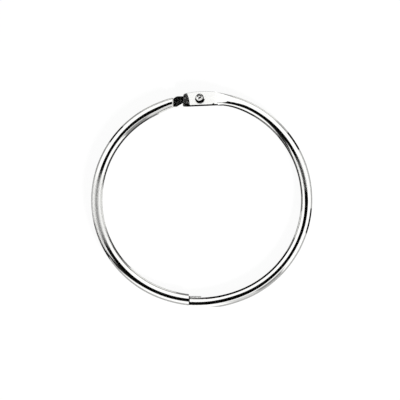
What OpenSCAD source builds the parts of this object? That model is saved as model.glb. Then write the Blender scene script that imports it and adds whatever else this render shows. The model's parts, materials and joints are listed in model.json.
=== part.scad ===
// Hinged binder ring of round steel wire.
// It lies flat: the ring's axis is +Z, the hinge is at +Y, the clasp at -Y, the fork half at +X.
// All sizes are in millimetres.

/* [Wire and bend] */
// Diameter of the round wire
wire_d = 4.4; // [3.8:0.1:5.3]
// Inside diameter to which the fork half is bent
ring_inside_d = 75.8; // [50:0.1:100]
// How much smaller the bend radius of the tongue half is
tongue_bend = 1.1; // [0.5:0.1:1.8]
// Distance across the ring between the two bend centres
centre_gap = 3.4; // [2.6:0.1:4.2]
// How far the bend centre of the tongue half sits below the other one
centre_drop = 0.2; // [0:0.1:0.5]
// Angle before the bottom of the ring at which each half bends less, in degrees
end_angle = 24; // [15:1:35]
// Extra bend radius of the last stretch of the fork half
fork_end_ease = 7.0; // [3:0.5:9]
// Extra bend radius of the last stretch of the tongue half
tongue_end_ease = 4.6; // [2:0.1:6]

/* [Fork] */
// Thickness over both cheeks
fork_t = 3.1; // [2.8:0.05:3.3]
// Distance of the rivet from the fork half's bend centre, towards the tongue half
rivet_lead = 1.85; // [1:0.05:3]
// Distance of the rivet inside the middle line of the wire
rivet_drop = 0.3; // [0:0.05:0.5]
// Distance from the rivet to the tip of the cheeks
tip_reach = 6.5; // [5.4:0.1:7.8]
// How far the cheeks spread beyond the wire on the ring's outer side
outer_spread = 0.2; // [0:0.05:0.4]
// Radius of the cheeks' crowned outer edge
cheek_crown_r = 35.6; // [30:0.1:40]
// How far they spread beyond it on the ring's inner side, measured at the rivet
inner_spread = 1.1; // [0.9:0.05:1.4]
// Turn of the straight inner edge from the X axis, in degrees
cheek_inner_turn = 2.5; // [0:0.5:4]
// Distance from the rivet to where the flat faces start to fade into the round wire
flat_reach = 5.85; // [4.9:0.05:7.1]
// Slope at which the flat faces rise into the round wire, in degrees
fade_slope = 6.5; // [5:0.5:9]
// Slope at which the spread edges beside the round wire thin out, in degrees
thin_slope = 11; // [8:0.5:13]
// Size of the cut corner at the outer end of each cheek
tip_corner = 0.5; // [0.2:0.1:1]
// Distance from the rivet to the step where the sloping tip of each cheek begins
step_reach = 4.1; // [3.4:0.1:4.9]
// Turn of that step from the Y axis, in degrees
step_turn = 13; // [5:1:20]
// Thickness of each cheek at the thin corner of its tip
tip_t = 0.27; // [0.15:0.01:0.5]

/* [Tongue] */
// Thickness of the tongue
tongue_t = 1.3; // [1.05:0.05:1.5]
// Distance that the tongue's round end stays inside the cheeks' outer edge
knuckle_cover = 0.1; // [0.05:0.05:0.4]
// Distance from the rivet to the shoulder where the round wire stops
shoulder_reach = 10.8; // [9:0.1:13]
// Distance that the shoulder's faces lean back over their height
shoulder_lean = 0.45; // [0.1:0.05:0.8]
// Distance that the pressed tongue spreads beyond the wire on each side
tongue_spread = 0.05; // [0.02:0.01:0.2]
// Width of the bevel on the tongue's inner edge where it enters the cheeks
bevel_w = 1.3; // [0.5:0.1:1.6]
// Turn of that bevel from the X axis, in degrees
bevel_turn = 22; // [15:1:30]
// Slope of that bevel, in degrees
bevel_slope = 24; // [15:1:25]

/* [Rivet] */
// Diameter of the rivet's shank
shank_d = 2.4; // [2.0:0.05:2.9]
// Diameter of both heads
head_d = 4.1; // [3.4:0.1:4.9]
// Height of each head above the cheek
head_h = 0.55; // [0.45:0.01:0.6]
// Diameter of the hollow in the clinched end
hollow_d = 1.8; // [1.5:0.05:1.95]
// Depth of the hollow below the top of the clinched end
hollow_depth = 2.6; // [2:0.1:3.1]

/* [Clasp] */
// Length of the nose of the tongue half
nose_len = 4.9; // [4:0.1:5.9]
// Distance from the fork half's bend centre to the root of that nose, towards the tongue half
nose_root = 6.25; // [5.5:0.05:7.5]
// Depth of the flat on the inner side of the nose
nose_trim = 0.6; // [0.2:0.1:0.8]
// Depth of the flat on the inner side of the front lap
lap_trim = 0.4; // [0.2:0.1:0.6]

/* [Clearances] */
// Gap between the tongue and each cheek
cheek_gap = 0.1; // [0.05:0.01:0.2]
// Radial gap of the shank in the tongue
pivot_gap = 0.05; // [0.02:0.01:0.1]
// Radial gap of the shank in the cheeks, where it is upset tight
rivet_gap = 0.01; // [0.01:0.01:0.03]
// Gap between the round end of the tongue and the bottom of the slot
slot_end_gap = 0.5; // [0.3:0.1:0.8]
// Gap between the two laps of the clasp
lap_gap = 0.15; // [0.1:0.05:0.3]
// Gap at each end of the clasp
face_gap = 0.4; // [0.3:0.05:0.6]

/* [Hidden] */
$fn = 180;

nickel = "#c9ccd0";
wire_fn = 48;
wire_r = wire_d / 2;
shank_r = shank_d / 2;
hollow_r = hollow_d / 2;
head_r = head_d / 2;
// Longer than the ring is wide, for cutters that pass right through
far = 2 * ring_inside_d;
// How far the round wire reaches into the pressed ends, and how deep below their faces
bite = 1.0;
sink = 0.05;

// Bend radii to the middle of the wire. The fork half's bend centre is at [0, 0] until the end
fork_r = ring_inside_d / 2 + wire_r;
tongue_r = fork_r - tongue_bend;
tongue_centre = [-centre_gap, -centre_drop];

// Where the main bend of each half passes into its straighter last stretch
fork_end = -90 + end_angle;
tongue_end = 270 - end_angle;
fork_end_r = fork_r + fork_end_ease;
tongue_end_r = tongue_r + tongue_end_ease;
fork_end_centre = polar([0, 0], -fork_end_ease, fork_end);
tongue_end_centre = polar(tongue_centre, -tongue_end_ease, tongue_end);

// Hinge
rivet = [-rivet_lead, fork_r - rivet_drop];
tip_x = rivet.x - tip_reach;
flat_x = rivet.x + flat_reach;
step_x = rivet.x - step_reach;
shoulder_x = rivet.x - shoulder_reach;
cheek_outer = wire_r + rivet_drop + outer_spread;
cheek_inner = wire_r - rivet_drop + inner_spread;
knuckle_r = cheek_outer - knuckle_cover;
slot_h = tongue_t + 2 * cheek_gap;
slot_end_x = rivet.x + knuckle_r + slot_end_gap;

// The cheeks' inner edge: a straight line that ends inside the round wire
edge_along = [cos(cheek_inner_turn), sin(cheek_inner_turn)];
edge_across = [-sin(cheek_inner_turn), cos(cheek_inner_turn)];
edge_offset = rivet * edge_across - cheek_inner;
edge_half = sqrt(pow(ring_inside_d / 2, 2) - pow(edge_offset, 2));
edge_end = edge_offset * edge_across + (edge_half + bite) * edge_along;
edge_tip = [tip_x, (edge_offset - tip_x * edge_across.x) / edge_across.y];
cheek_top = rivet.y + cheek_outer;
cheek_root = polar([0, 0], fork_r, atan2(edge_end.y, edge_end.x));
crown_centre = [0, cheek_top - cheek_crown_r];
tip_top = circle_y(crown_centre, cheek_crown_r, tip_x + tip_corner);
tip_run = (step_x - tip_x + cheek_inner * tan(step_turn)) * cos(step_turn);
tip_slope = atan(((fork_t - slot_h) / 2 - tip_t) / tip_run);

// Tongue, which keeps the wire's course and about its width as far as the cheeks
tongue_outer_r = tongue_r + wire_r + tongue_spread;
tongue_inner_r = tongue_r - wire_r - tongue_spread;
neck_inner_y = circle_y(tongue_centre, tongue_inner_r, tip_x);
bevel_run = (shoulder_reach - tip_reach) / cos(bevel_turn);

// Clasp
nose_root_x = -nose_root;
nose_tip_x = nose_root_x + nose_len;
lap_tip_x = nose_root_x + face_gap;
lap_root_x = nose_tip_x + face_gap;
lap_inner_y = fork_end_centre.y - fork_end_r + wire_r - lap_trim;
nose_inner_y = tongue_end_centre.y - tongue_end_r + wire_r - nose_trim;

// The ring's box is centred on the Z axis and stands on Z = 0
lowest_y = fork_end_centre.y - fork_end_r - wire_r;
half_height = max(wire_r, fork_t / 2 + head_h);
ring_place = [(centre_gap - tongue_bend) / 2, -(cheek_top + lowest_y) / 2, half_height];

// Point at a radius and an angle about a centre
function polar(centre, r, a) = centre + r * [cos(a), sin(a)];

// Upper point of a circle on the vertical line at x
function circle_y(centre, r, x) = centre.y + sqrt(r * r - pow(x - centre.x, 2));

// Angle of that point about the circle's centre
function circle_angle(centre, r, x) = acos((x - centre.x) / r);

// Round wire along an arc about the Z axis
module wire_arc(r, from, to) {
  rotate_extrude(angle = to - from, start = from)
    translate([r, 0])
      circle(d = wire_d, $fn = wire_fn);
}

// The two bends of a half ring, which meet on the X axis. The straighter one runs on past the
// clasp, where it is cut to length
module bent_wire(main_r, main_angle, end_r) {
  wire_arc(main_r, 0, main_angle);
  translate([main_r - end_r, 0]) wire_arc(end_r, -1.5 * end_angle, 0);
}

// Does the same on the top and on the underside
module both_faces() {
  children();
  mirror([0, 0, 1]) children();
}

// Everything at the hinge above a plane that rises towards +X from the line at x, z
module above_slope(x, z, slope, turn = 0) {
  translate([x, rivet.y, z])
    rotate([0, -slope, turn])
      translate([-far / 2, -cheek_top / 4, 0])
        cube([far, cheek_top / 2, far / 2]);
}

// Block at the clasp between two values of X and two of Z, from y_from to the ring's middle
module clasp_block(x_from, x_to, z_from, z_to, y_from = -far) {
  translate([x_from, y_from, z_from])
    cube([x_to - x_from, -y_from, z_to - z_from]);
}

// Fork half: the round wire, which fades into the flat faces at the hinge
module fork_wire() {
  root_angle = circle_angle([0, 0], fork_r, slot_end_x + bite);
  difference() {
    rotate([0, 0, fork_end]) bent_wire(fork_r, root_angle - fork_end, fork_end_r);
    both_faces() above_slope(flat_x, fork_t / 2, fade_slope);
  }
}

// Outline of the cheeks: crowned outside, straight inside and at the tip
module cheek_outline() {
  intersection() {
    translate(crown_centre) circle(r = cheek_crown_r);
    polygon([
      edge_tip,
      edge_end,
      cheek_root,
      [flat_x, cheek_top],
      [tip_x + tip_corner + cheek_top - tip_top, cheek_top],
      [tip_x, tip_top - tip_corner]
    ]);
  }
}

// The pressed end of the fork half, with the slope at the tip of each cheek
module cheeks() {
  difference() {
    linear_extrude(fork_t, center = true) cheek_outline();
    both_faces() {
      above_slope(step_x, fork_t / 2, tip_slope, step_turn);
      above_slope(flat_x, fork_t / 2, -thin_slope);
    }
  }
}

module fork_half() {
  color(nickel) translate(ring_place) difference() {
    union() {
      fork_wire();
      cheeks();
    }
    // Slot for the tongue
    translate([tip_x - bite, rivet.y - cheek_top / 4, -slot_h / 2])
      cube([slot_end_x - tip_x + bite, cheek_top / 2, slot_h]);
    // Hole for the rivet through both cheeks
    translate([rivet.x, rivet.y, -fork_t])
      cylinder(h = 2 * fork_t, r = shank_r + rivet_gap);
    // The front lap is the upper half of the wire, filed flat on its inner side
    clasp_block(-far, lap_root_x, -far, lap_gap / 2);
    clasp_block(-far, lap_tip_x, -far, far);
    clasp_block(-far, lap_root_x, -far, far, lap_inner_y);
  }
}

// Everything beyond the leaning shoulder and above the tongue
module shoulder_cut() {
  translate([0, far, 0]) rotate([90, 0, 0])
    linear_extrude(far)
      polygon([
        [shoulder_x, tongue_t / 2 - sink],
        [shoulder_x - shoulder_lean, wire_r + sink],
        [far, wire_r + sink],
        [far, tongue_t / 2 - sink]
      ]);
}

// Tongue half: the round wire, which ends in the shoulder at the hinge
module tongue_wire() {
  root_angle = circle_angle(tongue_centre, tongue_r, shoulder_x + bite);
  difference() {
    translate(tongue_centre)
      rotate([0, 0, tongue_end])
        mirror([0, 1, 0])
          bent_wire(tongue_r, tongue_end - root_angle, tongue_end_r);
    both_faces() shoulder_cut();
  }
}

// Outline of the tongue: it follows the wire to the cheeks, then turns out to its knuckle
module tongue_outline() {
  translate(rivet) circle(r = knuckle_r);
  polygon([
    [shoulder_x, circle_y(tongue_centre, tongue_outer_r, shoulder_x)],
    [tip_x, circle_y(tongue_centre, tongue_outer_r, tip_x)],
    rivet + [0, knuckle_r - sink],
    rivet - [0, knuckle_r - sink],
    [tip_x, neck_inner_y],
    [shoulder_x, circle_y(tongue_centre, tongue_inner_r, shoulder_x)]
  ]);
}

// What the bevel takes off the tongue's inner edge, from the shoulder to just inside the cheeks
module bevel_cut() {
  translate([tip_x, neck_inner_y + bevel_w, tongue_t / 2])
    rotate([0, 0, bevel_turn])
      rotate([bevel_slope, 0, 0])
        translate([-bevel_run, -wire_d, 0])
          cube([bevel_run + bite, wire_d, wire_d]);
}

module tongue_half() {
  color(nickel) translate(ring_place) difference() {
    union() {
      tongue_wire();
      linear_extrude(tongue_t, center = true) tongue_outline();
    }
    both_faces() bevel_cut();
    // Running hole for the rivet
    translate([rivet.x, rivet.y, -tongue_t])
      cylinder(h = 2 * tongue_t, r = shank_r + pivot_gap);
    // The nose is the lower half of the wire, filed flat on its inner side
    clasp_block(nose_root_x, far, -lap_gap / 2, far);
    clasp_block(nose_tip_x, far, -far, far);
    clasp_block(nose_root_x, far, -far, far, nose_inner_y);
  }
}

// Half section of the rivet: crowned head below, rolled and hollow end above
module rivet_section() {
  seat = fork_t / 2;
  crown_drop = head_h / 2;
  crown_r = (head_r * head_r + crown_drop * crown_drop) / (2 * crown_drop);
  roll_r = head_r - head_h;
  cone_h = hollow_r / 2;
  difference() {
    union() {
      translate([0, -seat]) square([shank_r, fork_t]);
      intersection() {
        translate([0, crown_r - seat - head_h]) circle(r = crown_r);
        translate([0, -seat - head_h]) square([head_r, head_h]);
      }
      // The wall of the hollow turns out into the rolled rim
      translate([0, seat]) square([roll_r, head_h / 2]);
      intersection() {
        translate([roll_r, seat]) circle(r = head_h, $fn = wire_fn);
        translate([0, seat]) square([head_r + sink, head_h + sink]);
      }
    }
    polygon([
      [0, seat + head_h - hollow_depth],
      [hollow_r, seat + head_h - hollow_depth + cone_h],
      [hollow_r, seat + head_h + sink],
      [0, seat + head_h + sink]
    ]);
  }
}

module hinge_rivet() {
  color(nickel)
    translate(ring_place + [rivet.x, rivet.y, 0])
      rotate_extrude($fn = wire_fn * 2)
        rivet_section();
}

fork_half();
tongue_half();
hinge_rivet();
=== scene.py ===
"""A hinged binder ring of bright nickel plated wire, lying closed on a pale floor.

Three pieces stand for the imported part's three nodes: the half ring whose pressed end is slotted into
a fork, the half ring whose pressed end is a thin tongue, and the rivet that joins them. Each half is
swept as one length of wire, pressed at the hinge and filed down to a half lap at the clasp.
"""

from __future__ import annotations

import json
import logging
import math
from collections.abc import Callable, Iterable
from dataclasses import dataclass, field
from enum import Enum

import bmesh
import bpy
from mathutils import Euler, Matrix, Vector


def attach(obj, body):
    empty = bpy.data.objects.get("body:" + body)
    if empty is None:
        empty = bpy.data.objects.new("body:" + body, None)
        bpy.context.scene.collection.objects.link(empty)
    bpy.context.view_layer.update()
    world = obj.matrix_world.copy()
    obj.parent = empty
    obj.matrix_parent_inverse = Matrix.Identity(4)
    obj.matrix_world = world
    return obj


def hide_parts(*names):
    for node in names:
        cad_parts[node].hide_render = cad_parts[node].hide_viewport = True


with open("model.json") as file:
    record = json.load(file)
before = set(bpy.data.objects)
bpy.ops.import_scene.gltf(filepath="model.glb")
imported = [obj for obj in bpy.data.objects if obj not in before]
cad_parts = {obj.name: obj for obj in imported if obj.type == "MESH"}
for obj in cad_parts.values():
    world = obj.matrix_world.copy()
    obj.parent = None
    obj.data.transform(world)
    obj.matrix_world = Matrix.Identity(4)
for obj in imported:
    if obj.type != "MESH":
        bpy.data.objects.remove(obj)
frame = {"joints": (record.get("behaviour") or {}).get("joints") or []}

log = logging.getLogger("binder_ring")
MM = 0.001
# The hinge axis at the middle of the wire's height. Every size below is in millimetres from it
HINGE = Vector(frame["joints"][0]["pos_m"])
# Vertices around the wire and degrees of bend between two sections: fine enough for mirror plating
AROUND = 72
BEND_STEP = 1.0
# Sides of the rivet and of the pin that cuts its holes
TURNED = 64
# Metres that count as nothing where metal is cut, and below which two vertices are merged
TINY = 1e-7
WELD = TINY * 20
# A section stands at x when it is nearer to it than this, in millimetres
SAME_X = 1e-3
# Where the hinge's end of the ring begins and where the clasp's begins, in millimetres along Y
HINGE_END, CLASP_END = -12.0, -60.0
# Nearly all the values of a noise lie between these two
NOISE_LOW, NOISE_HIGH = 0.35, 0.65


class Part(Enum):
    """What a selection is made of."""

    VERTS = "VERT"
    EDGES = "EDGE"
    FACES = "FACE"


class Face(Enum):
    """The two faces of the ring as it lies."""

    TOP = 1.0
    UNDERSIDE = -1.0


def at(x: float, y: float, z: float = 0.0) -> Vector:
    """Turns millimetres from the hinge into metres in the row's frame."""
    return HINGE + Vector((x, y, z)) * MM


def from_hinge(point: Vector) -> Vector:
    """Turns metres in the row's frame into millimetres from the hinge."""
    return (point - HINGE) / MM


def near_hinge(point: Vector) -> bool:
    """Whether a point, in millimetres from the hinge, is in the hinge's end of the ring."""
    return point.y > HINGE_END


def near_clasp(point: Vector) -> bool:
    """Whether a point, in millimetres from the hinge, is in the clasp's end of the ring."""
    return point.y < CLASP_END


def arc_y(centre: tuple[float, float], radius: float, x: float) -> float:
    """Upper point of a circle on the line at x."""
    return centre[1] + math.sqrt(radius**2 - (x - centre[0]) ** 2)


def ease(share: float) -> float:
    """Turns an even share from 0 to 1 into one that starts and ends softly."""
    return share**2 * (3 - 2 * share)


def only(*objects: bpy.types.Object) -> None:
    """Leaves only these objects selected, in object mode, with the first one active.

    Args:
        objects: What stays selected.
    """
    if bpy.context.mode != "OBJECT":
        bpy.ops.object.mode_set(mode="OBJECT")
    bpy.ops.object.select_all(action="DESELECT")
    for thing in objects:
        thing.select_set(True)
    if objects:
        bpy.context.view_layer.objects.active = objects[0]


def edit(thing: bpy.types.Object) -> None:
    """Opens one object in edit mode with nothing in it selected.

    Args:
        thing: The object that is opened.
    """
    only(thing)
    bpy.ops.object.mode_set(mode="EDIT")
    bpy.ops.mesh.select_all(action="DESELECT")


def pick(part: Part, test: Callable[[Vector, Vector], bool]) -> int:
    """Selects what passes a test in the object that is open, and nothing else.

    Args:
        part: Vertices, edges or faces.
        test: Gets the middle in millimetres from the hinge, and the normal.

    Returns:
        How many were selected.
    """
    bpy.ops.mesh.select_mode(type=part.value)
    bpy.ops.mesh.select_all(action="DESELECT")
    mesh = bmesh.from_edit_mesh(bpy.context.edit_object.data)
    mesh.normal_update()
    found = 0
    if part is Part.VERTS:
        for vert in mesh.verts:
            if test(from_hinge(vert.co), vert.normal):
                vert.select_set(True)
                found += 1
    elif part is Part.EDGES:
        for edge in mesh.edges:
            a, b = (from_hinge(v.co) for v in edge.verts)
            if test(a, edge.verts[0].normal) and test(b, edge.verts[1].normal):
                edge.select_set(True)
                found += 1
    else:
        for face in mesh.faces:
            if test(from_hinge(face.calc_center_median()), face.normal):
                face.select_set(True)
                found += 1
    mesh.select_flush_mode()
    bmesh.update_edit_mesh(bpy.context.edit_object.data)
    return found


def pull(x: float, y: float, z: float = 0.0) -> None:
    """Extrudes the selected edges by a distance in millimetres."""
    bpy.ops.mesh.extrude_region_move(
        TRANSFORM_OT_translate={"value": (x * MM, y * MM, z * MM)}
    )


def stretch(x: float, y: float, z: float, about: Vector) -> None:
    """Scales the selection about a point."""
    bpy.ops.transform.resize(value=(x, y, z), center_override=about)


def apply_modifier(
    thing: bpy.types.Object, kind: str, **settings: object
) -> None:
    """Adds one modifier with its settings and applies it.

    Args:
        thing: The object it goes on.
        kind: Blender's name for the modifier.
        settings: Its properties.
    """
    only(thing)
    modifier = thing.modifiers.new(kind.lower(), kind)
    for name, value in settings.items():
        setattr(modifier, name, value)
    bpy.ops.object.modifier_apply(modifier=modifier.name)


def cutter_block(
    low: tuple[float, float, float],
    high: tuple[float, float, float],
    corner: tuple[float, float, float] = (0.0, 0.0, 0.0),
    lean: tuple[float, float, float] = (0.0, 0.0, 0.0),
) -> bpy.types.Object:
    """A block between two corners, in millimetres, that something is cut with.

    A block reaches well past what it cuts, apart from the faces that shape the piece.

    Args:
        low: Its low corner before it is leaned.
        high: Its high corner before it is leaned.
        corner: The point from the hinge that both are measured from, and that it leans about.
        lean: Degrees that it is turned about X, then Y, then Z.

    Returns:
        The block.
    """
    turn = Euler([math.radians(a) for a in lean])
    middle = Vector([(a + b) / 2 for a, b in zip(low, high)])
    middle.rotate(turn)
    bpy.ops.mesh.primitive_cube_add(
        size=1,
        location=at(*(middle + Vector(corner))),
        rotation=turn,
        scale=[(b - a) * MM for a, b in zip(low, high)],
    )
    bpy.ops.object.transform_apply(location=True, rotation=True, scale=True)
    return bpy.context.active_object


def cutter_pin(radius: float, reach: float) -> bpy.types.Object:
    """A pin on the hinge axis that a hole is cut with.

    Args:
        radius: Its radius in millimetres.
        reach: How far it goes above and below the hinge.

    Returns:
        The pin.
    """
    bpy.ops.mesh.primitive_cylinder_add(
        vertices=TURNED, radius=radius * MM, depth=2 * reach * MM, location=HINGE
    )
    bpy.ops.object.transform_apply(location=True, rotation=True, scale=True)
    return bpy.context.active_object


def cut(thing: bpy.types.Object, cutters: Iterable[bpy.types.Object]) -> None:
    """Takes each cutter's shape out of the thing, and throws the cutter away.

    Args:
        thing: What is cut.
        cutters: What it is cut with, in this order.
    """
    for cutter in cutters:
        apply_modifier(
            thing, "BOOLEAN", operation="DIFFERENCE", solver="EXACT", object=cutter
        )
        only(cutter)
        bpy.ops.object.delete()


def linear(code: str) -> tuple[float, float, float, float]:
    """Turns an sRGB hex colour into the linear values that shaders take.

    Args:
        code: The colour, as a hash and six digits.

    Returns:
        Red, green, blue and an alpha of 1.
    """
    parts = [int(code[i : i + 2], 16) / 255 for i in (1, 3, 5)]
    flat = [c / 12.92 if c <= 0.04045 else ((c + 0.055) / 1.055) ** 2.4 for c in parts]
    return (flat[0], flat[1], flat[2], 1.0)


def bare_metal(name: str, colour: str) -> bpy.types.Material:
    """Starts the material of a metal, with a shader that is all metal and in one colour.

    Args:
        name: What the material is called.
        colour: The metal's colour, as a hash and six digits.

    Returns:
        The material.
    """
    made = bpy.data.materials.new(name)
    made.use_nodes = True
    shader = made.node_tree.nodes["Principled BSDF"]
    shader.inputs["Base Color"].default_value = linear(colour)
    shader.inputs["Metallic"].default_value = 1.0
    return made


def add_node(
    tree: bpy.types.NodeTree,
    kind: str,
    settings: dict[str, object] | None = None,
    links: dict[str | int, object] | None = None,
) -> bpy.types.Node:
    """Adds one node with its settings and its inputs.

    Args:
        tree: The tree it goes in.
        kind: The node's type name, without the ShaderNode at its front.
        settings: Properties of the node.
        links: Input name or number to a value, or to a socket that is linked to it.

    Returns:
        The node.
    """
    node = tree.nodes.new("ShaderNode" + kind)
    for name, value in (settings or {}).items():
        setattr(node, name, value)
    for name, value in (links or {}).items():
        if isinstance(value, bpy.types.NodeSocket):
            tree.links.new(value, node.inputs[name])
        else:
            node.inputs[name].default_value = value
    return node


@dataclass(frozen=True)
class WireNickel:
    """Bright nickel on drawn steel wire: a mirror, with faint draw lines that run along the bend."""

    name: str
    bend_centre: tuple[float, float]
    colour: str = "#f6f6f4"
    rough_low: float = 0.05
    rough_high: float = 0.11
    # The rubbed stretch, in degrees about the bend centre, and how rough it is
    dull_from: float = 0.0
    dull_to: float = 0.0
    dull_rough: float = 0.46
    # Shares of half the stretch at which the rub begins and at which it is full
    rub_ends: tuple[float, float] = (1.3, 0.45)
    # Draw lines and slow clouding, in millimetres, with the wire's mean bend radius
    line_width: float = 0.35
    line_length: float = 14.0
    bend_r: float = 39.0
    cloud: float = 6.25
    cloud_share: float = 0.45
    depth: float = 0.004

    def material(self) -> bpy.types.Material:
        """Builds the material, whose lines follow the wire round its bend centre.

        Returns:
            The material.
        """
        made = bare_metal(self.name, self.colour)
        tree = made.node_tree
        shader = tree.nodes["Principled BSDF"]
        where = add_node(tree, "TexCoord")
        centre = at(*self.bend_centre)
        centred = add_node(
            tree,
            "Mapping",
            links={
                "Vector": where.outputs["Object"],
                "Location": tuple(-c / MM for c in centre),
                "Scale": (1 / MM, 1 / MM, 1 / MM),
            },
        )
        flat = add_node(
            tree,
            "VectorMath",
            {"operation": "MULTIPLY"},
            {0: centred.outputs[0], 1: (1.0, 1.0, 0.0)},
        )
        split = add_node(tree, "SeparateXYZ", links={0: centred.outputs[0]})
        turn = add_node(
            tree,
            "Math",
            {"operation": "ARCTAN2"},
            {0: split.outputs["Y"], 1: split.outputs["X"]},
        )
        radius = add_node(
            tree, "VectorMath", {"operation": "LENGTH"}, {0: flat.outputs[0]}
        )
        # The draw lines are far finer on real wire: they are drawn this coarse to show at all
        along = add_node(
            tree,
            "Math",
            {"operation": "MULTIPLY"},
            {0: turn.outputs[0], 1: self.bend_r * self.line_width / self.line_length},
        )
        unrolled = add_node(
            tree,
            "CombineXYZ",
            links={
                "X": along.outputs[0],
                "Y": radius.outputs["Value"],
                "Z": split.outputs["Z"],
            },
        )
        lines = add_node(
            tree,
            "TexNoise",
            links={
                "Vector": unrolled.outputs[0],
                "Scale": 1 / self.line_width,
                "Detail": 3.0,
                "Roughness": 0.55,
            },
        )
        cloud = add_node(
            tree,
            "TexNoise",
            links={"Vector": centred.outputs[0], "Scale": 1 / self.cloud, "Detail": 2.0},
        )
        both = add_node(
            tree,
            "Mix",
            {"data_type": "FLOAT"},
            {0: self.cloud_share, 2: lines.outputs["Fac"], 3: cloud.outputs["Fac"]},
        )
        rough = add_node(
            tree,
            "MapRange",
            links={
                "Value": both.outputs[0],
                "From Min": NOISE_LOW,
                "From Max": NOISE_HIGH,
                "To Min": self.rough_low,
                "To Max": self.rough_high,
            },
        )
        level = rough.outputs[0]
        if self.dull_to > self.dull_from:
            level = self.rub(tree, turn.outputs[0], cloud.outputs["Fac"], level)
        tree.links.new(level, shader.inputs["Roughness"])
        bump = add_node(
            tree,
            "Bump",
            links={
                "Height": lines.outputs["Fac"],
                "Strength": 0.6,
                "Distance": self.depth * MM,
            },
        )
        tree.links.new(bump.outputs[0], shader.inputs["Normal"])
        return made

    def rub(
        self,
        tree: bpy.types.NodeTree,
        turn: bpy.types.NodeSocket,
        cloud: bpy.types.NodeSocket,
        bright: bpy.types.NodeSocket,
    ) -> bpy.types.NodeSocket:
        """Dulls the stretch of the wire that hands and paper have rubbed, with soft, uneven ends.

        Args:
            tree: The material's nodes.
            turn: The angle about the bend centre, in radians.
            cloud: Slow noise that makes the ends uneven.
            bright: The roughness elsewhere.

        Returns:
            The roughness with the dull stretch in it.
        """
        middle = math.radians((self.dull_from + self.dull_to) / 2)
        half = math.radians((self.dull_to - self.dull_from) / 2)
        unevenness = 0.03
        outer, inner = (math.cos(half * share) + unevenness / 2 for share in self.rub_ends)
        offset = add_node(
            tree, "Math", {"operation": "SUBTRACT"}, {0: turn, 1: middle}
        )
        away = add_node(
            tree, "Math", {"operation": "COSINE"}, {0: offset.outputs[0]}
        )
        uneven = add_node(
            tree,
            "Math",
            {"operation": "MULTIPLY_ADD"},
            {0: cloud, 1: unevenness, 2: away.outputs[0]},
        )
        share = add_node(
            tree,
            "MapRange",
            {"interpolation_type": "SMOOTHSTEP"},
            {"Value": uneven.outputs[0], "From Min": outer, "From Max": inner},
        )
        return add_node(
            tree,
            "Mix",
            {"data_type": "FLOAT"},
            {0: share.outputs[0], 2: bright, 3: self.dull_rough},
        ).outputs[0]


@dataclass(frozen=True)
class PressedNickel:
    """Nickel on a face that a die has pressed: grain from the die, from frosted to nearly bright."""

    name: str
    colour: str
    rough_low: float
    rough_high: float
    grain: float
    depth: float
    crown: float = 0.0

    def material(self) -> bpy.types.Material:
        """Builds the material, with grain of the given size in millimetres.

        Returns:
            The material.
        """
        made = bare_metal(self.name, self.colour)
        tree = made.node_tree
        shader = tree.nodes["Principled BSDF"]
        where = add_node(tree, "TexCoord")
        grain = add_node(
            tree,
            "TexNoise",
            links={
                "Vector": where.outputs["Object"],
                "Scale": 1 / (self.grain * MM),
                "Detail": 4.0,
                "Roughness": 0.6,
            },
        )
        rough = add_node(
            tree,
            "MapRange",
            links={
                "Value": grain.outputs["Fac"],
                "From Min": NOISE_LOW,
                "From Max": NOISE_HIGH,
                "To Min": self.rough_low,
                "To Max": self.rough_high,
            },
        )
        tree.links.new(rough.outputs[0], shader.inputs["Roughness"])
        split = add_node(tree, "SeparateXYZ", links={0: where.outputs["Object"]})
        # The die leaves the face lower towards its outer edge
        height = add_node(
            tree,
            "Math",
            {"operation": "MULTIPLY_ADD"},
            {
                0: split.outputs["Y"],
                1: -self.crown / (self.depth * MM),
                2: grain.outputs["Fac"],
            },
        )
        bump = add_node(
            tree,
            "Bump",
            links={
                "Height": height.outputs[0],
                "Strength": 1.0,
                "Distance": self.depth * MM,
            },
        )
        tree.links.new(bump.outputs[0], shader.inputs["Normal"])
        return made


@dataclass(frozen=True)
class Bend:
    """One arc of a half ring, at the middle of the wire, in millimetres and degrees."""

    centre: tuple[float, float]
    radius: float
    start: float
    end: float

    def point(self, angle: float) -> Vector:
        """The point of the arc at an angle, in the row's frame."""
        turn = math.radians(angle)
        return at(
            self.centre[0] + self.radius * math.cos(turn),
            self.centre[1] + self.radius * math.sin(turn),
        )


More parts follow.
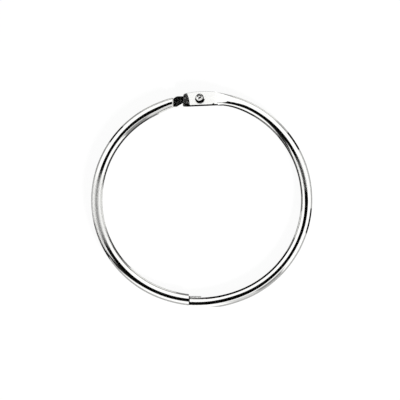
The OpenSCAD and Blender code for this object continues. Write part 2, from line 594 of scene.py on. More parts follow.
@dataclass
class HalfRing:
    """One length of round wire with two bends, a pressed hinge end and a half-lapped clasp end."""

    name: str
    node: str
    body: str
    bends: tuple[Bend, Bend]
    wire_r: float = 2.2
    soft_edge: float = 0.08
    # Edges that turn by more degrees than the first are softened, and by less than the second
    # are shaded smooth
    sharp_from: float = 32.0
    smooth_to: float = 9.0
    trim_reach: float = 8.0
    pin_reach: float = 4.0
    finishes: list[bpy.types.Material] = field(default_factory=list)

    def sweep(self) -> bpy.types.Object:
        """Sweeps the round section from the clasp through both bends to the hinge.

        Returns:
            The open tube, with its last section selected in edit mode.
        """
        first = self.bends[0]
        bpy.ops.mesh.primitive_circle_add(
            vertices=AROUND,
            radius=self.wire_r * MM,
            fill_type="NOTHING",
            location=first.point(first.start),
            rotation=(math.pi / 2, 0, math.radians(first.start)),
        )
        tube = bpy.context.active_object
        tube.name = self.name
        tube.data.name = self.name
        only(tube)
        bpy.ops.object.transform_apply(location=True, rotation=True, scale=True)
        bpy.ops.object.mode_set(mode="EDIT")
        bpy.ops.mesh.select_all(action="SELECT")
        for bend in self.bends:
            sweep = bend.end - bend.start
            bpy.ops.mesh.spin(
                steps=max(1, round(abs(sweep) / BEND_STEP)),
                angle=math.radians(sweep),
                center=at(*bend.centre),
                # The operator turns clockwise about its axis, so the axis points down
                axis=(0, 0, -1),
            )
        return tube

    def trim(self, x: float, outwards: float, near: Callable[[Vector], bool]) -> None:
        """Cuts the wire square across at x and leaves the cut section selected.

        Args:
            x: Where it is cut.
            outwards: 1 drops what lies beyond x, and -1 what lies before it.
            near: Says which part of the half ring the cut is in.
        """
        pick(Part.FACES, lambda c, n: near(c) and abs(c.x - x) < self.trim_reach)
        bpy.ops.mesh.bisect(
            plane_co=at(x, 0),
            plane_no=(outwards, 0, 0),
            clear_outer=True,
            use_fill=False,
            threshold=TINY,
        )
        pick(Part.EDGES, lambda c, n: near(c) and abs(c.x - x) < SAME_X)

    def close(self, x: float, near: Callable[[Vector], bool]) -> None:
        """Closes the open section at x with a face."""
        pick(Part.EDGES, lambda c, n: near(c) and abs(c.x - x) < SAME_X)
        bpy.ops.mesh.edge_face_add()

    def drag(
        self, thing: bpy.types.Object, distance: float, share: Callable[[Vector], float]
    ) -> None:
        """Drags metal along Y, as the dies do beside what they squeeze.

        Args:
            thing: The piece.
            distance: How far, in millimetres.
            share: Gets a place in millimetres, and says which share of the distance it moves.
        """
        group = thing.vertex_groups.new(name="dragged")
        for vert in thing.data.vertices:
            weight = share(from_hinge(vert.co))
            if weight > 0:
                group.add([vert.index], weight, "REPLACE")
        apply_modifier(
            thing,
            "DISPLACE",
            direction="Y",
            mid_level=0.0,
            strength=distance * MM,
            vertex_group=group.name,
        )
        thing.vertex_groups.clear()

    def tidy(self, thing: bpy.types.Object) -> None:
        """Merges doubles and turns every face outwards.

        Args:
            thing: The piece.
        """
        edit(thing)
        bpy.ops.mesh.select_all(action="SELECT")
        bpy.ops.mesh.remove_doubles(threshold=WELD)
        bpy.ops.mesh.normals_make_consistent(inside=False)
        bpy.ops.object.mode_set(mode="OBJECT")

    def soften(self, thing: bpy.types.Object) -> None:
        """Rounds the cut edges a little, and shades only the round wire smooth.

        Args:
            thing: The piece.
        """
        apply_modifier(
            thing,
            "BEVEL",
            width=self.soft_edge * MM,
            segments=2,
            limit_method="ANGLE",
            angle_limit=math.radians(self.sharp_from),
            use_clamp_overlap=True,
        )
        only(thing)
        bpy.ops.object.shade_smooth_by_angle(angle=math.radians(self.smooth_to))

    def dress(
        self, thing: bpy.types.Object, choose: Callable[[Vector, Vector], int]
    ) -> None:
        """Gives each face one of the piece's finishes.

        Args:
            thing: The piece.
            choose: Gets a face's middle in millimetres and its normal, and says which finish.
        """
        only(thing)
        thing.data.materials.clear()
        for finish in self.finishes:
            thing.data.materials.append(finish)
        edit(thing)
        for index in range(1, len(self.finishes)):
            if pick(Part.FACES, lambda c, n, i=index: choose(c, n) == i):
                thing.active_material_index = index
                bpy.ops.object.material_slot_assign()
        bpy.ops.object.mode_set(mode="OBJECT")

    def hand_over(self, thing: bpy.types.Object) -> None:
        """Lets the piece ride on its body in place of its CAD node, and reports it.

        Args:
            thing: The finished piece.
        """
        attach(thing, self.body)
        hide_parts(self.node)
        log.info("%s: %d faces", self.name, len(thing.data.polygons))


@dataclass
class ForkHalf(HalfRing):
    """The half ring whose hinge end is pressed flat and slotted into two cheeks."""

    # The fork's tip: its end, the step up to the cheeks and how many degrees that is turned, how
    # thick each tip is at its end, and how much is clipped off its outer corner
    tip: float = -6.5
    step: float = -4.35
    step_turn: float = 9.0
    tip_t: float = 0.27
    corner: float = 0.5
    # Where the flat ends, where the wire is whole, and the distances between sections in both
    flat_end: float = 5.85
    root: float = 12.6
    fade_step: float = 0.45
    flat_step: float = 1.04
    # Half the flat's thickness and its lean, and the slope and lean at which it runs out
    half_t: float = 1.55
    flat_tilt: float = 2.5
    fade_slope: float = 5.0
    fade_tilt: float = 10.0
    # How much wider the section is drawn before its sides are squeezed onto both edges
    fullness: float = 1.24
    # The outer edge is an arc, and the inner one is straight
    crown_top: float = 2.7
    crown_r: float = 35.6
    inner: float = 3.0
    inner_turn: float = 2.5
    # How the inner edge is broken, and the nick in it
    edge_w: float = 0.57
    edge_slope: float = 54.0
    nick: tuple[float, float] = (5.24, -2.42)
    nick_half: float = 0.42
    # The slot for the tongue, and the rivet's hole
    slot_half: float = 0.75
    slot_end: float = 3.1
    hole_r: float = 1.21
    # The clasp's front lap: its end, its root, the play behind it and the flat on its outer side
    lap_tip: float = -4.0
    lap_root: float = 0.9
    lap_gap: float = 0.15
    heel_trim: float = 0.87
    # How far the crest is dragged in beside the flat: from where, to where most, and up to where
    crest_drag: float = 0.8
    drag_span: tuple[float, float, float] = (5.9, 9.5, 19.5)

    def edges(self, x: float) -> tuple[float, float]:
        """Outer and inner edge of the pressed end at x.

        Args:
            x: Millimetres from the hinge.

        Returns:
            Both edges, in millimetres from the hinge.
        """
        centre, radius = self.bends[1].centre, self.bends[1].radius
        crown = arc_y((centre[0], self.crown_top - self.crown_r), self.crown_r, x)
        turn = math.radians(self.inner_turn)
        straight = (x * math.sin(turn) - self.inner) / math.cos(turn)
        return (
            max(crown, arc_y(centre, radius + self.wire_r, x)),
            min(straight, arc_y(centre, radius - self.wire_r, x)),
        )

    def spread(self) -> None:
        """Draws the last section out to the tip, and squeezes its sides flat to both edges."""
        last = self.root
        outer, inner = self.edges(last)
        full = 1.0
        fade = [self.root - self.fade_step * i for i in range(1, 16)]
        flat = [self.flat_end - self.flat_step * i for i in range(1, 13)]
        for x in fade + flat:
            new_outer, new_inner = self.edges(x)
            middle = (new_outer + new_inner) / 2
            share = min(1.0, (self.root - x) / (self.root - self.flat_end))
            new_full = 1.0 + (self.fullness - 1.0) * share
            pull(x - last, middle - (outer + inner) / 2)
            wider = (new_outer - new_inner) * new_full / ((outer - inner) * full)
            stretch(1, wider, 1, at(x, middle))
            for edge in (new_outer, new_inner):
                beyond = pick(
                    Part.VERTS,
                    lambda c, n, x=x, e=edge, m=middle: abs(c.x - x) < SAME_X
                    and near_hinge(c)
                    and (c.y - e) * (e - m) > 1e-6,
                )
                if beyond:
                    stretch(1, 0, 1, at(x, edge))
            pick(Part.EDGES, lambda c, n, x=x: abs(c.x - x) < SAME_X and near_hinge(c))
            last, outer, inner, full = x, new_outer, new_inner, new_full

    def dies(self) -> list[bpy.types.Object]:
        """The blocks that press both faces: the flat, its fade into the wire, and the tip.

        Returns:
            The blocks, three for each face.
        """
        turn = math.radians(self.step_turn)
        run = (self.step - self.tip + self.inner * math.tan(turn)) * math.cos(turn)
        drop = self.half_t - self.slot_half - self.tip_t
        slope = math.degrees(math.atan(drop / run))
        blocks = []
        for face in Face:
            side = face.value
            up = (0.0, 6.0) if face is Face.TOP else (-6.0, 0.0)
            level = (self.flat_end, 0.0, self.half_t * side)
            step = (self.step, 0.0, self.half_t * side)
            blocks += [
                cutter_block(
                    (-16, -9, up[0]), (0, 9, up[1]), level, (-self.flat_tilt * side, 0, 0)
                ),
                cutter_block(
                    (-0.01, -9, up[0]),
                    (14, 9, up[1]),
                    level,
                    (-self.fade_tilt * side, -self.fade_slope * side, 0),
                ),
                cutter_block(
                    (-9, -9, up[0]), (0, 9, up[1]), step, (0, -slope * side, self.step_turn)
                ),
            ]
        return blocks

    def edge_cutters(self) -> list[bpy.types.Object]:
        """The blocks that break the flat's inner edges, and the one that nicks the upper edge.

        Returns:
            The blocks.
        """
        blocks = []
        for face in Face:
            side = face.value
            up = (0.0, 4.0) if face is Face.TOP else (-4.0, 0.0)
            blocks.append(
                cutter_block(
                    (-8, -4, up[0]),
                    (7, 0, up[1]),
                    (0, self.edge_w - self.inner, self.half_t * side),
                    (self.edge_slope * side, 0, self.inner_turn),
                )
            )
        nick = (*self.nick, self.half_t)
        half = self.nick_half
        blocks.append(cutter_block((-half, -half, -0.4), (half, half, 1), nick, (0, 0, 45)))
        return blocks

    def crest_share(self, place: Vector) -> float:
        """Share of the drag inwards: the wire's crest beside the flat, and less further along.

        Args:
            place: Where a bit of metal is, in millimetres from the hinge.

        Returns:
            The share, from 0 to 1.
        """
        start, most, end = self.drag_span
        if not near_hinge(place) or not start < place.x < end:
            return 0.0
        along = min((place.x - start) / (most - start), (end - place.x) / (end - most), 1.0)
        return ease(along) * min(1.0, (place.z / self.wire_r) ** 2)

    def clip_corner(self, thing: bpy.types.Object) -> None:
        """Cuts the outer corner off the tip.

        Args:
            thing: The piece.
        """
        edit(thing)
        centre = self.bends[1].centre
        crown = (centre[0], self.crown_top - self.crown_r)
        top = arc_y(crown, self.crown_r, self.tip + self.corner)
        pick(Part.FACES, lambda c, n: near_hinge(c) and c.x < 2)
        bpy.ops.mesh.bisect(
            plane_co=at(self.tip + self.corner, top),
            plane_no=Vector((-1, 1, 0)).normalized(),
            clear_outer=True,
            use_fill=True,
            threshold=TINY,
        )
        bpy.ops.object.mode_set(mode="OBJECT")

    def build(self) -> bpy.types.Object:
        """Makes the whole piece.

        Returns:
            The finished piece.
        """
        wire = self.sweep()
        self.trim(self.root, -1, near_hinge)
        self.spread()
        self.trim(self.tip, -1, near_hinge)
        self.close(self.tip, near_hinge)
        self.trim(self.lap_tip, -1, near_clasp)
        self.close(self.lap_tip, near_clasp)
        self.tidy(wire)
        self.drag(wire, -self.crest_drag, self.crest_share)
        self.clip_corner(wire)
        self.tidy(wire)
        cut(wire, self.dies() + self.edge_cutters())
        end = self.bends[0]
        flat_y = end.centre[1] - end.radius + self.wire_r
        heel_y = end.centre[1] - end.radius - self.wire_r + self.heel_trim
        # The slot, the rivet's hole, the half lap, its inner side cut level and its outer flat
        cut(
            wire,
            [
                cutter_block(
                    (self.tip - 2, -9, -self.slot_half),
                    (self.slot_end, 9, self.slot_half),
                ),
                cutter_pin(self.hole_r, self.pin_reach),
                cutter_block((-12, -90, -6), (self.lap_root, -60, self.lap_gap / 2)),
                cutter_block((-12, flat_y + 0.01, -7), (self.lap_root, -60, 7)),
                cutter_block((-12, -95, -7), (12, heel_y, 7)),
            ],
        )
        self.tidy(wire)
        self.soften(wire)
        self.dress(wire, self.finish_of)
        return wire

    def finish_of(self, centre: Vector, normal: Vector) -> int:
        """Which finish a face has: 0 wire, 1 frosted cheek, 2 pressed tip, 3 filed lap.

        Args:
            centre: The face's middle, in millimetres from the hinge.
            normal: The face's normal.

        Returns:
            The finish's number.
        """
        turn = math.tan(math.radians(self.step_turn))
        if near_hinge(centre) and centre.x < self.root:
            if centre.x < self.step + 0.05 - centre.y * turn:
                return 2
            if abs(normal.z) > 0.9 and abs(centre.z) > self.half_t - 0.3:
                return 1 if centre.x < self.flat_end + 3 and abs(normal.y) < 0.3 else 0
        if near_clasp(centre) and centre.x < self.lap_root + 0.2:
            if normal.z < -0.9 or abs(normal.x) > 0.9 or normal.y > 0.98:
                return 3
        return 0


@dataclass
class TongueHalf(HalfRing):
    """The half ring whose hinge end is pressed to a thin tongue."""

    # Where the round wire stops and how much that step leans, where the tongue's edges leave its
    # level stretch for the knuckle, and the distance between sections
    shoulder: float = -10.5
    lean: float = 0.4
    neck: float = -6.5
    section_step: float = 0.54
    half_t: float = 0.65
    knuckle_r: float = 2.6
    hole_r: float = 1.25
    # The tongue's two level edges, and how deep and how long its outer corner is rounded off
    top: float = 0.86
    bottom: float = -3.4
    corner: float = 1.0
    corner_w: float = 1.9
    # How far the wire's inner side is squeezed outwards, the share of it that the whole section
    # moves with the share that depends on the side, and where it ends
    side_drag: float = 0.65
    side_shares: tuple[float, float] = (0.6, 0.4)
    drag_end: float = -18.0
    # The bevel off the inner edge, whose line is turned away from the edge
    bevel_w: float = 1.6
    bevel_turn: float = 30.0
    bevel_slope: float = 22.0
    # The clasp's rear nose: its root and its end, the play, the flat on its inner side and the
    # saw's relief at its root
    nose_root: float = -4.4
    nose_tip: float = 0.5
    lap_gap: float = 0.15
    nose_trim: float = 0.6
    relief_w: float = 0.4
    relief_h: float = 0.8

    def edges(self, x: float) -> tuple[float, float]:
        """Outer and inner edge of the tongue at x.

        Args:
            x: Millimetres from the hinge.

        Returns:
            Both edges, in millimetres from the hinge.
        """
        if x > 0:
            half = math.sqrt(max(0.0, self.knuckle_r**2 - x**2))
            return half, -half
        rounding = max(0.0, 1 - (x - self.shoulder) / self.corner_w)
        outer = self.top - self.corner * rounding**2
        share = max(0.0, (x - self.neck) / -self.neck)
        return (
            outer + (self.knuckle_r - outer) * share,
            self.bottom + (-self.knuckle_r - self.bottom) * share,
        )

    def side_share(self, place: Vector) -> float:
        """Share of the drag outwards: most on the wire's inner side, and most at the shoulder.

        Args:
            place: Where a bit of metal is, in millimetres from the hinge.

        Returns:
            The share, from 0 to 1.
        """
        start = self.shoulder - self.lean
        if not near_hinge(place) or not self.drag_end < place.x < start + TINY / MM:
            return 0.0
        along = (place.x - self.drag_end) / (start - self.drag_end)
        out = math.hypot(place.x - self.bends[1].centre[0], place.y - self.bends[1].centre[1])
        inwards = (self.bends[1].radius - out) / self.wire_r
        even, tilt = self.side_shares
        return ease(along) * (even + tilt * inwards)

    def press(self) -> None:
        """Steps down from the shoulder to the tongue and draws it out to its round end."""
        last = self.shoulder - self.lean
        centre, radius = self.bends[1].centre, self.bends[1].radius
        outer = arc_y(centre, radius + self.wire_r, last)
        inner = arc_y(centre, radius - self.wire_r, last)
        straight = [self.shoulder + self.section_step * i for i in range(21)]
        knuckle = [self.knuckle_r * math.sin(math.radians(t)) for t in range(8, 89, 8)]
        for x in straight + knuckle:
            new_outer, new_inner = self.edges(x)
            middle = (new_outer + new_inner) / 2
            pull(x - last, middle - (outer + inner) / 2)
            stretch(1, (new_outer - new_inner) / (outer - inner), 1, at(x, middle))
            if x == self.shoulder:
                for face in Face:
                    pick(
                        Part.VERTS,
                        lambda c, n, x=x, f=face.value: abs(c.x - x) < SAME_X
                        and near_hinge(c)
                        and c.z * f > self.half_t,
                    )
                    stretch(1, 1, 0, at(x, middle, self.half_t * face.value))
            pick(Part.EDGES, lambda c, n, x=x: abs(c.x - x) < SAME_X and near_hinge(c))
            last, outer, inner = x, new_outer, new_inner
        bpy.ops.mesh.edge_face_add()

    def edge_cutter(self, face: Face) -> bpy.types.Object:
        """The block that takes the bevel off the tongue's inner edge, on one face.

        Args:
            face: The face that is bevelled.

        Returns:
            The block.
        """
        run = (self.neck - self.shoulder) / math.cos(math.radians(self.bevel_turn))
        up = (0.0, 4.4) if face is Face.TOP else (-4.4, 0.0)
        return cutter_block(
            (-run, -4.4, up[0]),
            (1.0, 0.0, up[1]),
            (self.neck, self.bottom + self.bevel_w, self.half_t * face.value),
            (self.bevel_slope * face.value, 0, self.bevel_turn),
        )

    def build(self) -> bpy.types.Object:
        """Makes the whole piece.

        Returns:
            The finished piece.
        """
        wire = self.sweep()
        self.trim(self.shoulder - self.lean, 1, near_hinge)
        self.press()
        self.trim(self.nose_tip, 1, near_clasp)
        self.close(self.nose_tip, near_clasp)
        self.tidy(wire)
        self.drag(wire, self.side_drag, self.side_share)
        end = self.bends[0]
        flat_y = end.centre[1] - end.radius + self.wire_r - self.nose_trim
        # The rivet's hole, both bevels, the half lap, the saw's relief and the inner flat
        cut(
            wire,
            [
                cutter_pin(self.hole_r, self.pin_reach),
                self.edge_cutter(Face.TOP),
                self.edge_cutter(Face.UNDERSIDE),
                cutter_block((self.nose_root, -90, -self.lap_gap / 2), (9, -60, 6)),
                cutter_block(
                    (self.nose_root, -90, -self.relief_h),
                    (self.nose_root + self.relief_w, -60, 6),
                ),
                cutter_block((self.nose_root, flat_y, -7), (9, -60, 7)),
            ],
        )
        self.tidy(wire)
        self.soften(wire)
        self.dress(wire, self.finish_of)
        return wire

    def finish_of(self, centre: Vector, normal: Vector) -> int:
        """Which finish a face has: 0 wire, 1 pressed tongue, 2 filed lap.

        Args:
            centre: The face's middle, in millimetres from the hinge.
            normal: The face's normal.

        Returns:
            The finish's number.
        """
        if near_hinge(centre) and centre.x > self.shoulder - self.lean:
            # The bevels and the inner edge were sheared bright, like the wire
            return 0 if normal.y < -0.2 else 1
        if near_clasp(centre) and centre.x > self.nose_root - 0.2:
            if abs(normal.x) > 0.9 or centre.z < 0.1 - self.relief_h:
                return 0
            if normal.z > 0.9 or normal.y > 0.98:
                return 2
        return 0


@dataclass
class HingeRivet:
    """The semi-tubular rivet: a low crowned head below, the rolled and hollow end on top."""

    seat: float = 1.55
    head_r: float = 2.05
    head_h: float = 0.55
    shank_r: float = 1.2
    mouth_r: float = 1.15
    # How far the roll is set off the rivet's middle, and how narrow the punch's mark is for its
    # length with the degrees that it is turned
    skew: tuple[float, float] = (-0.27, 0.43)
    punch: tuple[float, float] = (0.42, 30.0)
    smooth_to: float = 30.0

    def profile(self) -> list[tuple[float, float, float]]:
        """Radius, height and share of the skew of each ring of the turned shape, from below.

        Returns:
            The rings, each as a radius, a height and a share.
        """
        low, top = -self.seat, self.seat
        head = [
            (0.5, low - self.head_h, 0.0),
            (1.0, low - self.head_h * 0.95, 0.0),
            (1.5, low - self.head_h * 0.82, 0.0),
            (1.85, low - self.head_h * 0.62, 0.0),
            (2.0, low - self.head_h * 0.42, 0.0),
            (self.head_r, low - self.head_h * 0.2, 0.0),
            (self.head_r - 0.05, low, 0.0),
        ]
        shank = [(self.shank_r, low, 0.0), (self.shank_r, top, 0.0)]
        roll = [
            (self.head_r - 0.04, top, 0.0),
            (self.head_r, top + 0.1, 0.0),
            (self.head_r, top + 0.2, 0.0),
            (2.03, top + 0.36, 0.0),
            (1.97, top + 0.46, 0.05),
            (1.82, top + 0.505, 0.22),
            (1.62, top + 0.535, 0.45),
            (1.42, top + self.head_h, 0.65),
            (1.3, top + 0.54, 0.78),
            (1.2, top + 0.5, 0.9),
            (self.mouth_r, top + 0.42, 1.0),
            (self.mouth_r - 0.1, top + 0.3, 1.0),
            (0.72, top + 0.2, 0.4),
            (0.7, top - 0.1, 0.36),
        ]
        return head + shank + roll

    def build(self) -> bpy.types.Object:
        """Turns the rivet up from a disc, ring by ring.

        Returns:
            The finished piece.
        """
        rings = self.profile()
        radius, height, _ = rings[0]
        middle = Vector((0.0, 0.0))
        bpy.ops.mesh.primitive_circle_add(
            vertices=TURNED, radius=radius * MM, fill_type="NGON", location=at(0, 0, height)
        )
        rivet = bpy.context.active_object
        rivet.name = rivet.data.name = "hinge_rivet_rolled"
        only(rivet)
        bpy.ops.object.transform_apply(location=True, rotation=True, scale=True)
        bpy.ops.object.mode_set(mode="EDIT")
        bpy.ops.mesh.select_mode(type="EDGE")
        bpy.ops.mesh.select_all(action="SELECT")
        bpy.ops.mesh.region_to_loop()
        for new_radius, new_height, share in rings[1:]:
            new_middle = Vector(self.skew) * share
            shift = new_middle - middle
            pull(shift.x, shift.y, new_height - height)
            ratio = new_radius / radius
            stretch(ratio, ratio, 1, at(*new_middle, new_height))
            radius, height, middle = new_radius, new_height, new_middle
        # The setting punch leaves a bar across the hollow's bottom
        narrow, turn = self.punch
        bottom = at(*middle, height)
        stretch(1, narrow, 1, bottom)
        bpy.ops.transform.rotate(
            value=-math.radians(turn), orient_axis="Z", center_override=bottom
        )
        bpy.ops.mesh.edge_face_add()
        bpy.ops.mesh.select_all(action="SELECT")
        bpy.ops.mesh.normals_make_consistent(inside=False)
        bpy.ops.object.mode_set(mode="OBJECT")
        only(rivet)
        bpy.ops.object.shade_smooth_by_angle(angle=math.radians(self.smooth_to))
        return rivet

    def finish(self, thing: bpy.types.Object, plating: bpy.types.Material) -> None:
        """Plates the rivet, seats it in the fork side and reports it.

        Args:
            thing: The rivet.
            plating: Its material.
        """
        thing.data.materials.append(plating)
        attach(thing, "fork_side")
        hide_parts("hinge_rivet")
        log.info("%s: %d faces", thing.name, len(thing.data.polygons))


@dataclass(frozen=True)
class Card:
    """One board in the tent: its direction and half sizes in degrees, and how dark it is."""

    azimuth: float
    zenith: float
    half_width: float
    half_height: float
    turn: float
    soft: float
    darkness: float


class Tone(Enum):
    """The colours of the cards that lie on the studio floor."""

    BLACK = "#0a0a0a"
    WHITE = "#f4f4f2"


@dataclass(frozen=True)
class FloorCard:
    """One card on the floor: its bearing in degrees, its place and size in millimetres, its tone."""

    azimuth: float
    reach: float
    depth: float
    length: float
    height: float = 0.2
    tone: Tone = Tone.BLACK


@dataclass
class Studio:
    """A pale floor in a white tent that has an opening overhead, and the camera in that opening."""

    # The camera: how many millimetres it sees across, what it looks down on, and its lens
    frame_width: float = 157.2
    aim: tuple[float, float] = (0.012, -39.924)
    lens: float = 150.0
    sensor: float = 36.0
    # How bright the tent is in the plating's reflections, and as light on what is matt
    white: float = 1.15
    ambient: float = 0.45
    # The board's width in metres, and how many millimetres it lies below the ring
    board_size: float = 3.0
    board_drop: float = 0.02
    # The board's greys to all but the camera, inside the ring and outside it, and the radii in
    # millimetres between which one turns to the other. The darker grey inside the ring is painted
    # shade of the wire
    board_greys_with_painted_shade: tuple[str, str] = ("#808080", "#b0b0b0")
    painted_shade_turns: tuple[float, float] = (38.0, 41.0)
    # To the camera the board is a grey that takes the ring's shadow, with a glow on top that makes
    # it white. The plating mirrors only a small share of that glow
    board_shadow: str = "#5e5e5e"
    board_glow: float = 0.92
    mirrored_glow: float = 0.02
    # The lamp's azimuth and angle from straight up, its distance and size in metres, and its watts
    lamp_place: tuple[float, float] = (310.0, 60.0)
    lamp_away: float = 0.8
    lamp_size: float = 0.2
    lamp_power: float = 7.0
    opening_z: float = 390.0
    # The plating shows what is round it, so the black line along the wire's crest is this dark
    # opening. These are its reaches from above the ring's middle, at every 15 degrees from +X:
    # a longer reach widens the line towards the outside of the ring there
    opening: tuple[float, ...] = (
        220, 140, 90, 100, 115, 135, 175, 270, 235, 205, 180, 215,
        335, 440, 440, 410, 410, 380, 300, 270, 255, 230, 235, 255,
    )
    # Cards beside the wire, seen only in the plating. A black one is painted shadow: it darkens the
    # outline next to it where the floor would be in shade. A narrow one that stands higher keeps that
    # outline thin, and a white one is painted light that clears an outline that the floor makes grey
    floor_cards: tuple[FloorCard, ...] = (
        FloorCard(33, 48.0, 8.0, 9.0),
        FloorCard(33, 53.0, 1.0, 10.0, 4.5),
        FloorCard(349, 48.5, 8.0, 11.0),
        FloorCard(349, 53.5, 1.0, 12.0, 4.5),
        FloorCard(142, 47.5, 8.0, 9.0),
        FloorCard(142, 52.5, 1.0, 10.0, 4.5),
        FloorCard(202, 47.5, 8.0, 18.0),
        FloorCard(202, 52.5, 1.0, 18.0, 3.5),
        FloorCard(294, 30.5, 14.0, 18.0),
        FloorCard(316, 30.5, 14.0, 16.0),
        FloorCard(305, 23.0, 1.0, 30.0, 4.2),
        FloorCard(22, 33.0, 9.0, 22.0),
        FloorCard(79, 28.0, 22.0, 26.0),
        FloorCard(135, 33.0, 9.0, 14.0),
        FloorCard(157, 33.0, 9.0, 16.0),
        FloorCard(208, 33.0, 9.0, 10.0),
        FloorCard(275, 33.0, 9.0, 12.0),
        FloorCard(60, 48.5, 9.0, 22.0, tone=Tone.WHITE),
        FloorCard(114, 48.5, 9.0, 16.0, tone=Tone.WHITE),
        FloorCard(109, 33.0, 9.0, 9.0, tone=Tone.WHITE),
        FloorCard(184, 33.0, 9.0, 14.0, tone=Tone.WHITE),
        FloorCard(346, 33.0, 9.0, 9.0, tone=Tone.WHITE),
        FloorCard(238, 33.0, 9.0, 18.0, tone=Tone.WHITE),
    )
    # Boards that hang low in the tent and darken the slopes of the hinge that face them
    cards: tuple[Card, ...] = (
        Card(221, 62, 7.5, 34, -16, 2, 0.98),
        Card(301, 68, 15, 24, 0, 3, 0.38),
        Card(309, 70, 8, 25, 0, 1.5, 0.6),
        Card(38, 86, 10, 6, 0, 2, 0.9),
    )

    def direction(self, azimuth: float, zenith: float) -> Vector:
        """Unit vector towards an azimuth and an angle from straight up, in degrees."""
        a, z = math.radians(azimuth), math.radians(zenith)
        return Vector(
            (math.sin(z) * math.cos(a), math.sin(z) * math.sin(a), math.cos(z))
        )

    def dim(
        self, tree: bpy.types.NodeTree, look: bpy.types.NodeSocket, card: Card
    ) -> bpy.types.NodeSocket:
        """How much of a card is in the way of each direction, from 0 to 1.

        Args:
            tree: The world's nodes.
            look: The direction.
            card: The card.

        Returns:
            The socket that holds the share.
        """
        ahead = self.direction(card.azimuth, card.zenith)
        soft = math.radians(card.soft)
        side = Vector((0, 0, 1)).cross(ahead).normalized()
        up = ahead.cross(side)
        turn = math.radians(card.turn)
        axes = (
            (side * math.cos(turn) + up * math.sin(turn), card.half_width),
            (up * math.cos(turn) - side * math.sin(turn), card.half_height),
        )
        shares = []
        for axis, half in axes:
            across = add_node(
                tree, "VectorMath", {"operation": "DOT_PRODUCT"}, {0: look, 1: axis}
            )
            size = add_node(
                tree, "Math", {"operation": "ABSOLUTE"}, {0: across.outputs["Value"]}
            )
            reach = math.radians(half)
            shares.append(
                add_node(
                    tree,
                    "MapRange",
                    {"interpolation_type": "SMOOTHSTEP"},
                    {
                        "Value": size.outputs[0],
                        "From Min": math.sin(reach + soft),
                        "From Max": math.sin(max(0.0, reach - soft)),
                    },
                ).outputs[0]
            )
        facing = add_node(
            tree, "VectorMath", {"operation": "DOT_PRODUCT"}, {0: look, 1: ahead}
        )
        front = add_node(
            tree, "Math", {"operation": "GREATER_THAN"}, {0: facing.outputs["Value"], 1: 0.0}
        )
        both = add_node(tree, "Math", {"operation": "MULTIPLY"}, {0: shares[0], 1: shares[1]})
        return add_node(
            tree, "Math", {"operation": "MULTIPLY"}, {0: both.outputs[0], 1: front.outputs[0]}
        ).outputs[0]

    def tent(self) -> None:
        """Surrounds the ring with the white tent, whose cards only reflections show."""
        world = bpy.data.worlds.new("white_tent")
        bpy.context.scene.world = world
        world.use_nodes = True
        tree = world.node_tree
        tree.nodes.clear()
        look = add_node(tree, "TexCoord").outputs["Generated"]
        light: object = self.white
        for card in self.cards:
            share = self.dim(tree, look, card)
            left = add_node(
                tree,
                "Math",
                {"operation": "MULTIPLY_ADD"},
                {0: share, 1: -card.darkness, 2: 1.0},
            )
            light = add_node(
                tree, "Math", {"operation": "MULTIPLY"}, {0: left.outputs[0], 1: light}
            ).outputs[0]
        path = add_node(tree, "LightPath")
        plain = add_node(
            tree,
            "Mix",
            {"data_type": "FLOAT"},
            {0: path.outputs["Is Camera Ray"], 2: self.ambient, 3: 1.0},
        )
        strength = add_node(
            tree,
            "Mix",
            {"data_type": "FLOAT"},
            {0: path.outputs["Is Glossy Ray"], 2: plain.outputs[0], 3: light},
        )
        sky = add_node(
            tree, "Background", links={"Color": linear("#ffffff"), "Strength": strength.outputs[0]}
        )
        out = add_node(tree, "OutputWorld")
        tree.links.new(sky.outputs[0], out.inputs[0])

    def floor(self) -> None:
        """Lays the pale floor, which stays white to the camera but keeps the ring's shadow."""
        bpy.ops.mesh.primitive_plane_add(
            size=self.board_size, location=(0, 0, -self.board_drop * MM)
        )
        floor = bpy.context.active_object
        floor.name = "pale_floor"
        made = bpy.data.materials.new("matt_white_table_board")
        made.use_nodes = True
        tree = made.node_tree
        tree.nodes.clear()
        path = add_node(tree, "LightPath")
        where = add_node(tree, "TexCoord")
        out_from_middle = add_node(
            tree, "VectorMath", {"operation": "LENGTH"}, {0: where.outputs["Object"]}
        )
        outside = add_node(
            tree,
            "MapRange",
            links={
                "Value": out_from_middle.outputs["Value"],
                "From Min": self.painted_shade_turns[0] * MM,
                "From Max": self.painted_shade_turns[1] * MM,
            },
        )
        # The board inside the ring is painted a darker grey: painted shade of the wire all round
        painted_shade_grey, outside_grey = self.board_greys_with_painted_shade
        shade = add_node(
            tree,
            "Mix",
            {"data_type": "RGBA"},
            {0: outside.outputs[0], 6: linear(painted_shade_grey), 7: linear(outside_grey)},
        )
        board = add_node(tree, "BsdfDiffuse", links={"Color": shade.outputs[2]})
        faint = add_node(tree, "BsdfDiffuse", links={"Color": linear(self.board_shadow)})
        soft = add_node(
            tree,
            "MixShader",
            links={
                0: path.outputs["Is Camera Ray"],
                1: board.outputs[0],
                2: faint.outputs[0],
            },
        )
        seen = add_node(
            tree,
            "Math",
            {"operation": "MULTIPLY_ADD"},
            {
                0: path.outputs["Is Glossy Ray"],
                1: self.mirrored_glow,
                2: path.outputs["Is Camera Ray"],
            },
        )
        level = add_node(
            tree, "Math", {"operation": "MULTIPLY"}, {0: seen.outputs[0], 1: self.board_glow}
        )
        glow = add_node(
            tree,
            "Emission",
            links={"Color": linear("#ffffff"), "Strength": level.outputs[0]},
        )
        both = add_node(tree, "AddShader", links={0: soft.outputs[0], 1: glow.outputs[0]})
        out = add_node(tree, "OutputMaterial")
        tree.links.new(both.outputs[0], out.inputs[0])
        floor.data.materials.append(made)

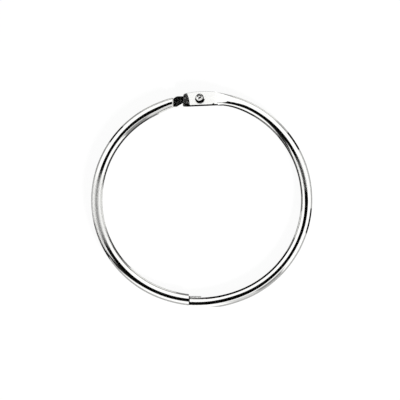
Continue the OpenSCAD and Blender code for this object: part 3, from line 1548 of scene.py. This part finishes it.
    def only_in_reflections(
        self, board: bpy.types.Object, name: str, tone: Tone = Tone.BLACK
    ) -> None:
        """Gives a board its tone, and hides it from all but the reflections in the plating.

        Args:
            board: The object.
            name: What it is called.
            tone: Its colour.
        """
        board.name = name
        kind = f"{tone.name.lower()}_reflection_card"
        card_material = bpy.data.materials.get(kind)
        if card_material is None:
            card_material = bpy.data.materials.new(kind)
            card_material.use_nodes = True
            tree = card_material.node_tree
            tree.nodes.clear()
            card_colour = add_node(tree, "BsdfDiffuse", links={"Color": linear(tone.value)})
            out = add_node(tree, "OutputMaterial")
            tree.links.new(card_colour.outputs[0], out.inputs[0])
        board.data.materials.append(card_material)
        board.visible_camera = False
        board.visible_diffuse = False
        board.visible_shadow = False

    def boards(self) -> None:
        """Hangs the tent's dark opening overhead and lays the cards round the ring."""
        bpy.ops.mesh.primitive_circle_add(
            vertices=len(self.opening), radius=MM, fill_type="NGON"
        )
        opening = bpy.context.active_object
        step = 360 / len(self.opening)
        for vert in opening.data.vertices:
            turn = math.degrees(math.atan2(vert.co.y, vert.co.x))
            vert.co *= self.opening[round(turn / step) % len(self.opening)]
        opening.location.z = self.opening_z * MM
        self.only_in_reflections(opening, "tent_opening")
        # The floor cards are painted shadow where black and painted light where white, seen only in
        # the plating
        for number, card in enumerate(self.floor_cards):
            turn = math.radians(card.azimuth)
            bpy.ops.mesh.primitive_cube_add(
                size=1,
                location=(
                    card.reach * MM * math.cos(turn),
                    card.reach * MM * math.sin(turn),
                    card.height * MM / 2,
                ),
                rotation=(0, 0, turn),
                scale=(card.depth * MM, card.length * MM, card.height * MM),
            )
            name = f"floor_card_{number}"
            self.only_in_reflections(bpy.context.active_object, name, card.tone)

    def key_light(self) -> None:
        """Adds the soft lamp from the near right that gives the floor its faint shadow."""
        towards = self.direction(*self.lamp_place)
        bpy.ops.object.light_add(type="AREA", location=at(*self.aim) + towards * self.lamp_away)
        lamp = bpy.context.active_object
        lamp.name = "key_softbox"
        lamp.rotation_euler = towards.to_track_quat("Z", "Y").to_euler()
        lamp.data.shape = "DISK"
        lamp.data.size = self.lamp_size
        lamp.data.energy = self.lamp_power
        lamp.visible_glossy = False
        lamp.visible_camera = False

    def camera(self) -> None:
        """Hangs the camera straight above the ring."""
        data = bpy.data.cameras.new("overhead_camera")
        data.lens = self.lens
        data.sensor_width = self.sensor
        camera = bpy.data.objects.new("overhead_camera", data)
        bpy.context.scene.collection.objects.link(camera)
        away = self.frame_width * self.lens / self.sensor
        camera.location = at(self.aim[0], self.aim[1], away)
        data.clip_start, data.clip_end = 0.01, 10.0
        bpy.context.scene.camera = camera

    def build(self) -> None:
        """Sets up the whole studio."""
        only()
        self.floor()
        self.boards()
        self.key_light()
        self.tent()
        self.camera()
        bpy.context.scene.view_settings.view_transform = "Standard"
        log.info("studio: %d cards", len(self.cards) + len(self.floor_cards))


def main() -> None:
    """Builds the studio and the ring."""
    logging.basicConfig(level=logging.INFO, format="%(message)s")
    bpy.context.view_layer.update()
    Studio().build()
    fork_centre, tongue_centre = (1.85, -39.8), (-1.55, -40.0)
    # Bright nickel over file marks: they spread the reflections, so the lap is evenly pale
    filed = PressedNickel("filed_nickel_lap", "#f4f4f2", 0.3, 0.42, 0.5, 0.01, 0.22)
    # Bright nickel over the print of a matt die: the flat is white all over and mirrors nothing
    frosted = PressedNickel("frosted_nickel_cheek", "#f8f8f6", 0.3, 0.38, 0.4, 0.01, 0.25)
    # Bright nickel over steel swaged thin: it mirrors the dark opening, and ripples break that up
    swaged = PressedNickel("swaged_nickel_tongue", "#dededc", 0.06, 0.2, 0.9, 0.022)
    lap, cheek, tongue = filed.material(), frosted.material(), swaged.material()
    fork = ForkHalf(
        name="fork_half_ring",
        node="fork_half",
        body="fork_side",
        bends=(
            Bend((-0.997, -33.405), 47.1, -94.6, -66.0),
            Bend(fork_centre, 40.1, -66.0, 80.0),
        ),
        finishes=[
            WireNickel(
                "bright_nickel_wire_fork", fork_centre, dull_from=3, dull_to=26, dull_rough=0.27
            ).material(),
            cheek,
            tongue,
            lap,
        ],
    )
    fork.hand_over(fork.build())
    tongue_half = TongueHalf(
        name="tongue_half_ring",
        node="tongue_half",
        body="tongue_side",
        bends=(
            Bend((0.321, -35.798), 43.6, 271.0, 246.0),
            Bend(tongue_centre, 39.0, 246.0, 100.0),
        ),
        finishes=[
            WireNickel(
                "bright_nickel_wire_tongue", tongue_centre, dull_from=164, dull_to=207
            ).material(),
            tongue,
            lap,
        ],
    )
    tongue_half.hand_over(tongue_half.build())
    rivet = HingeRivet()
    # Barrel nickel on a cold-headed steel rivet: a slightly soft mirror, with hard dark crescents
    plating = PressedNickel("nickel_plated_rivet", "#eeeeec", 0.05, 0.11, 0.7, 0.006)
    rivet.finish(rivet.build(), plating.material())
    only()


if __name__ == "__main__":
    main()
